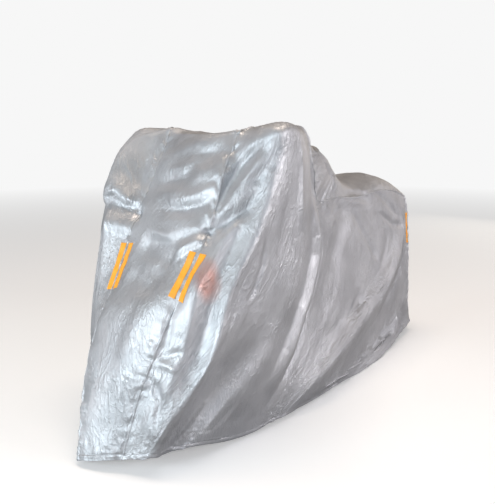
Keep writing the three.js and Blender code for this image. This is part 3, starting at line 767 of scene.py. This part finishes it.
def bar_piece(name, panel, from_end, marks, widen, material):
    """A strip of tape along a seam, thin and closed, and the two rows of thread that hold it."""
    points, normals = bar_surface(panel, from_end, *marks, widen)
    places, heights = np.array(TAPE_SECTION).T
    ends = np.ones(len(points))
    ends[[0, -1]] = TAPE_ENDS
    top = points + normals * (TAPE_GAP + ends[:, None] * heights * MM)[..., None]
    under = points + normals * TAPE_GAP
    rows, columns = top.shape[:2]
    index = np.arange(rows * columns).reshape(rows, columns)
    rim = np.concatenate([index[:-1, 0], index[-1, :-1], index[:0:-1, -1], index[0, :0:-1]])
    after = np.roll(rim, -1)
    walls = np.stack([rim, rim + index.size, after + index.size, after], -1)
    faces = np.concatenate([grid_faces(rows, columns, False),
                            grid_faces(rows, columns, True) + index.size, walls])
    facing = np.cross(top[1, 0] - top[0, 0], top[0, 1] - top[0, 0]) @ normals[0, 0]
    if facing < 0:
        faces = faces[:, ::-1]
    flat = np.concatenate([top.reshape(-1, 3), under.reshape(-1, 3)])
    piece = new_piece(name, flat, faces, material)
    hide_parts(name.replace("tape_", "bar_"))
    rows_of_thread = [list(places).index(d) for d in TAPE_STITCHES]
    return piece, [(top[:, k], normals[:, k]) for k in rows_of_thread]


# ---- materials ----
class Nodes:
    """A material with short ways to add its nodes."""

    def __init__(self, name):
        self.material = bpy.data.materials.new(name)
        self.material.use_nodes = True
        self.tree = self.material.node_tree
        self.shader = self.tree.nodes["Principled BSDF"]
        self.place = self.tree.nodes.new("ShaderNodeTexCoord")

    def feed(self, socket, value):
        if hasattr(value, "is_output"):
            self.tree.links.new(value, socket)
        else:
            socket.default_value = value

    def add(self, kind, inputs=(), **settings):
        node = self.tree.nodes.new("ShaderNode" + kind)
        for key, value in settings.items():
            setattr(node, key, value)
        for key, value in dict(inputs).items():
            self.feed(node.inputs[key], value)
        return node

    def set(self, **inputs):
        """Sets the shader's inputs, named like specular_ior_level."""
        for key, value in inputs.items():
            name = key.replace("_", " ").title().replace("Ior", "IOR")
            self.feed(self.shader.inputs[name], value)

    def noise(self, scale, detail, roughness=0.5, distortion=0.0, vector=None):
        return self.add("TexNoise", {
            "Vector": vector or self.place.outputs["Object"], "Scale": scale, "Detail": detail,
            "Roughness": roughness, "Distortion": distortion}).outputs["Fac"]

    def remap(self, value, low, high, low_value, high_value):
        return self.add("MapRange", {
            "Value": value, "From Min": low, "From Max": high, "To Min": low_value,
            "To Max": high_value}).outputs["Result"]

    def math(self, operation, a, b):
        return self.add("Math", {0: a, 1: b}, operation=operation).outputs["Value"]

    def mix(self, share, a, b):
        return self.add("Mix", {"Factor": share, "A": a, "B": b},
                        data_type="RGBA").outputs["Result"]

    def mapped(self, output, **inputs):
        inputs["Vector"] = self.place.outputs[output]
        return self.add("Mapping", inputs).outputs["Vector"]

    def length(self, vector):
        return self.add("VectorMath", {0: vector}, operation="LENGTH").outputs["Value"]

    def bump(self, height, strength, distance, below=None):
        inputs = {"Height": height, "Strength": strength, "Distance": distance}
        if below is not None:
            inputs["Normal"] = below
        return self.add("Bump", inputs).outputs["Normal"]


def wrinkles(nodes, size):
    """Broken ridges, about as far apart as that size in mm, along and down the cloth."""
    vector = nodes.mapped("UV", Scale=[1000 / size[0], 1000 / size[1], 1])
    off = nodes.math("SUBTRACT", nodes.noise(1, 2, 0.5, 0.6, vector), 0.5)
    return nodes.remap(nodes.math("ABSOLUTE", off, 0), 0, WRINKLE_WIDTH, 1, 0)


def weave(nodes):
    """Height of a plain weave, from the cloth's own coordinates in metres."""
    split = nodes.add("SeparateXYZ", {"Vector": nodes.place.outputs["UV"]})
    turns = THREADS_PER_METRE * math.pi
    across, down = (nodes.math("SINE", nodes.math("MULTIPLY", split.outputs[axis], turns), 0)
                    for axis in "XY")
    return nodes.math("MULTIPLY", across, down)


SILVER_DARK, SILVER_LIGHT = (0.50, 0.505, 0.52, 1), (0.60, 0.605, 0.62, 1)
RUBBED = (0.44, 0.435, 0.44, 1)
METALLIC, ROUGHNESS = 0.65, (0.44, 0.58)
# A reddish tint over a patch of the cloth beside the left front bars, strongest at its middle.
REDDISH_TINT = (0.60, 0.24, 0.16, 1)
TINT_CENTRE = (262, -785, 655)  # beside the left front bars, in the tables' millimetres
TINT_SIZE = (55 * MM, 55 * MM, 95 * MM)

# Wrinkles in the coating: distance apart along and down the cloth, and depth, in mm.
WRINKLES = [((55, 150), 1.2), ((26, 62), 1.0), ((13, 28), 0.5)]
WRINKLE_WIDTH = 0.05
THREADS_PER_METRE = 900


def tinted_patch(nodes):
    """How strong the reddish tint is: most at its middle, and patchy."""
    size = [1 / s for s in TINT_SIZE]
    centre = [-c * s for c, s in zip(to_frame(TINT_CENTRE), size)]
    offset = nodes.mapped("Object", Location=centre, Scale=size)
    near = nodes.remap(nodes.length(offset), 0.45, 1.0, 0.7, 0)
    return nodes.math("MULTIPLY", near, nodes.remap(nodes.noise(30, 4), 0.3, 0.7, 0.6, 1))


def silver_cloth():
    nodes = Nodes("silver_cloth")
    clouds = nodes.remap(nodes.noise(7, 4), 0.35, 0.65, 0, 1)
    rubbed = nodes.remap(nodes.noise(22, 6, 0.65, 0.8), 0.60, 0.72, 0, 0.5)
    silver = nodes.mix(rubbed, nodes.mix(clouds, SILVER_DARK, SILVER_LIGHT), RUBBED)
    nodes.set(base_color=nodes.mix(tinted_patch(nodes), silver, REDDISH_TINT), metallic=METALLIC,
              roughness=nodes.remap(nodes.noise(16, 4, 0.6), 0.3, 0.7, *ROUGHNESS))

    # relief: soft lumps, sharp wrinkles along the folds, crinkles of the coating, and the weave
    patches = nodes.remap(nodes.noise(6, 2), 0.35, 0.62, 0.2, 1)
    normal = nodes.bump(nodes.noise(26, 3, 0.55, 0.5), 0.30, 2.5 * MM)
    for size, depth in WRINKLES:
        lines = nodes.math("MULTIPLY", wrinkles(nodes, size), patches)
        normal = nodes.bump(lines, 0.8, depth * MM, normal)
    normal = nodes.bump(nodes.noise(110, 4, 0.65, 0.7), 0.45, 1.2 * MM, normal)
    nodes.set(normal=nodes.bump(weave(nodes), 0.25, 0.1 * MM, normal))
    return nodes.material


def orange_tape():
    nodes = Nodes("orange_bar")
    fade = nodes.remap(nodes.noise(60, 4, 0.6), 0.3, 0.7, 0, 1)
    beads = nodes.add("TexVoronoi", {"Vector": nodes.place.outputs["Object"], "Scale": 900.0})
    creases = nodes.bump(nodes.noise(55, 3, 0.6), 0.2, 1.5 * MM)
    # The emission is a painted glow: the tape lights itself faintly, though it is no lamp.
    nodes.set(base_color=nodes.mix(fade, (0.95, 0.38, 0.03, 1), (1.0, 0.47, 0.05, 1)),
              roughness=nodes.remap(nodes.noise(90, 3), 0.3, 0.7, 0.42, 0.55),
              emission_color=(1.0, 0.36, 0.03, 1), emission_strength=0.08,
              normal=nodes.bump(beads.outputs["Distance"], 0.2, 0.2 * MM, creases))
    return nodes.material


def thread_material(name, colour):
    nodes = Nodes(name)
    twist = nodes.noise(1500, 2)
    dark = tuple(0.8 * c for c in colour[:3]) + (1,)
    nodes.set(base_color=nodes.mix(twist, dark, colour), roughness=0.55,
              normal=nodes.bump(twist, 0.4, 0.1 * MM))
    return nodes.material


# The floor as the camera sees it grows into the backdrop with distance. To the cover it is grey.
FLOOR_PALE, FLOOR_GREY, BLACK = (0.84, 0.84, 0.835, 1), (0.30, 0.30, 0.30, 1), (0, 0, 0, 1)
FLOOR_NEAR, FLOOR_FAR, FLOOR_GLOW = 2.0, 9.0, (0.30, 0.93)


def floor_material():
    nodes = Nodes("floor")
    seen = nodes.add("LightPath").outputs["Is Camera Ray"]
    far = nodes.remap(nodes.length(nodes.place.outputs["Object"]), FLOOR_NEAR, FLOOR_FAR, 0, 1)
    speckle = nodes.remap(nodes.noise(40, 5, 0.6), 0.35, 0.65, 0.96, 1)
    pale = nodes.mix(far, FLOOR_PALE, BLACK)
    pale = nodes.mix(nodes.math("SUBTRACT", 1, speckle), pale, BLACK)
    glow = nodes.math("MULTIPLY", nodes.remap(far, 0, 1, *FLOOR_GLOW), seen)
    nodes.set(base_color=nodes.mix(seen, FLOOR_GREY, pale), roughness=0.9, specular_ior_level=0,
              emission_color=(1, 1, 1, 1), emission_strength=glow)
    return nodes.material


# ---- light, floor and camera ----
# Soft boxes round the cover, all facing its middle. Columns: azimuth and elevation in degrees
# (0 is the front, 90 the machine's left), and watts of red, green and blue.
LIGHTS = [
    (-75, 45, 15, 14, 15),
    (-40, 10, 40, 37, 38),
    (-10, 10, 122, 145, 156),
    (20, 10, 62, 60, 62),
    (60, 10, 10, 14, 18),
    (100, 10, 162, 156, 160),
    (140, 10, 29, 28, 30),
    (180, 10, 24, 21, 18),
    (0, 90, 165, 142, 122),
]
# The lights face that place from that distance, and their width and height are in metres too.
LIGHT_TARGET, LIGHT_DISTANCE, LIGHT_SIZE = (0, 0, 0.6), 5.4, (3.2, 2.2)
CAMERA_AT = (1.798, -2.6167, 1.1995)
CAMERA_AZIMUTH, CAMERA_ELEVATION = 37.3, 10.9
CAMERA_LENS, CAMERA_SENSOR = 52.64, 36
BACKDROP, AMBIENT = (0.93, 0.93, 0.93, 1), (0.005, 0.005, 0.005, 1)
FLOOR_HALF = 20


def add_lights():
    target = mathutils.Vector(LIGHT_TARGET)
    for azimuth, elevation, *watts in LIGHTS:
        name = f"light_{azimuth}_{elevation}"
        light = bpy.data.lights.new(name, "AREA")
        light.shape = "RECTANGLE"
        light.size, light.size_y = LIGHT_SIZE
        light.energy = max(watts)
        light.color = [w / max(watts) for w in watts]
        lamp = bpy.data.objects.new(name, light)
        away = LIGHT_DISTANCE * mathutils.Vector(push_direction(azimuth, elevation))
        lamp.location = target + away
        lamp.rotation_euler = (target - lamp.location).to_track_quat("-Z", "Y").to_euler()
        lamp.visible_camera = False
        bpy.context.scene.collection.objects.link(lamp)


def add_world():
    """An even backdrop for the camera, and a faint even light for everything else."""
    world = bpy.data.worlds.new("studio")
    world.use_nodes = True
    nodes, links = world.node_tree.nodes, world.node_tree.links
    nodes.clear()
    path = nodes.new("ShaderNodeLightPath")
    mix = nodes.new("ShaderNodeMixShader")
    output = nodes.new("ShaderNodeOutputWorld")
    links.new(path.outputs["Is Camera Ray"], mix.inputs[0])
    for socket, colour in ((1, AMBIENT), (2, BACKDROP)):
        background = nodes.new("ShaderNodeBackground")
        background.inputs["Color"].default_value = colour
        links.new(background.outputs["Background"], mix.inputs[socket])
    links.new(mix.outputs["Shader"], output.inputs["Surface"])
    bpy.context.scene.world = world


def add_floor():
    floor_mesh = bpy.data.meshes.new("floor")
    corners = [(FLOOR_HALF * x, FLOOR_HALF * y, 0) for x, y in ((-1, -1), (1, -1), (1, 1), (-1, 1))]
    floor_mesh.from_pydata(corners, [], [(0, 1, 2, 3)])
    floor_mesh.materials.append(floor_material())
    floor = bpy.data.objects.new("floor", floor_mesh)
    bpy.context.scene.collection.objects.link(floor)


def add_camera():
    data = bpy.data.cameras.new("camera")
    data.lens, data.sensor_width = CAMERA_LENS, CAMERA_SENSOR
    camera = bpy.data.objects.new("camera", data)
    camera.location = CAMERA_AT
    tilt = math.pi / 2 - math.radians(CAMERA_ELEVATION)
    camera.rotation_euler = (tilt, 0, math.radians(CAMERA_AZIMUTH))
    bpy.context.scene.collection.objects.link(camera)
    bpy.context.scene.camera = camera


# ---- the cover ----
# Each panel's flat width and length in metres, and its flat area in square metres.
FLAT = {"left": (1.2, 2.5, 1.95), "right": (1.2, 2.5, 1.95), "center": (0.62, 4.25, 1.45)}
# The bars lie in pairs: an outer one on a side panel, and an inner one on the centre panel.
# Columns: end, side, places as shares of the seam from the top to the hem, and how many times the
# width of the tape the outer and the inner bar are.
BAR_PAIRS = [
    ("front", "left", (0.478, 0.592), 1.1, 1),
    ("front", "right", (0.490, 0.598), 1, 1.35),
    ("rear", "left", (0.225, 0.415), 1, 1),
    ("rear", "right", (0.225, 0.415), 1, 1),
]


def bars():
    """Each bar's name and panel, its edge and places there, and how wide it is."""
    for end, side, marks, outer, inner in BAR_PAIRS:
        front = end == "front"
        down_centre = [1 - v if front else 2 + v for v in marks]
        yield f"{end}_{side}_outer", side, not front, marks, outer
        yield f"{end}_{side}_inner", "center", side == "left", down_centre, inner


def build_cover():
    rng = np.random.default_rng(SEED)
    grids, vs, places = bare_panels()
    cloths = [Cloth(grid, outward, is_side, rng)
              for grid, outward, is_side in zip(grids, (1, -1, -1), (True, True, False))]
    sew(*(cloth.state for cloth in cloths))
    settle(cloths)
    crumple(cloths)
    panels = {name: Panel(cloth, vs if cloth.is_side else places)
              for name, cloth in zip(FLAT, cloths)}
    silver, orange = silver_cloth(), orange_tape()
    thread = thread_material("silver_thread", (0.80, 0.80, 0.81, 1))
    tape_thread = thread_material("tape_thread", (0.85, 0.36, 0.08, 1))
    with_pieces = {name: [] for name in FLAT}
    for name, panel_name, from_end, marks, widen in bars():
        bar, paths = bar_piece("tape_" + name, panels[panel_name], from_end, marks, widen, orange)
        sewing = stitches("thread_" + name, paths, tape_thread)
        with_pieces[panel_name] += [bar, sewing]
    for name, panel in panels.items():
        node = "center_panel" if name == "center" else "side_panel_" + name
        cloth = cloth_piece("cloth_" + name, panel, silver)
        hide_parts(node)
        paths = panel.hem_paths()
        if panel.is_side:
            paths += [path for d in SEAM_STITCHES for path in panel.seam_paths(d)]
        sewing = stitches("thread_" + name, paths, thread)


add_camera()
build_cover()
add_lights()
add_world()
add_floor()
bpy.context.scene.view_settings.view_transform = "Standard"
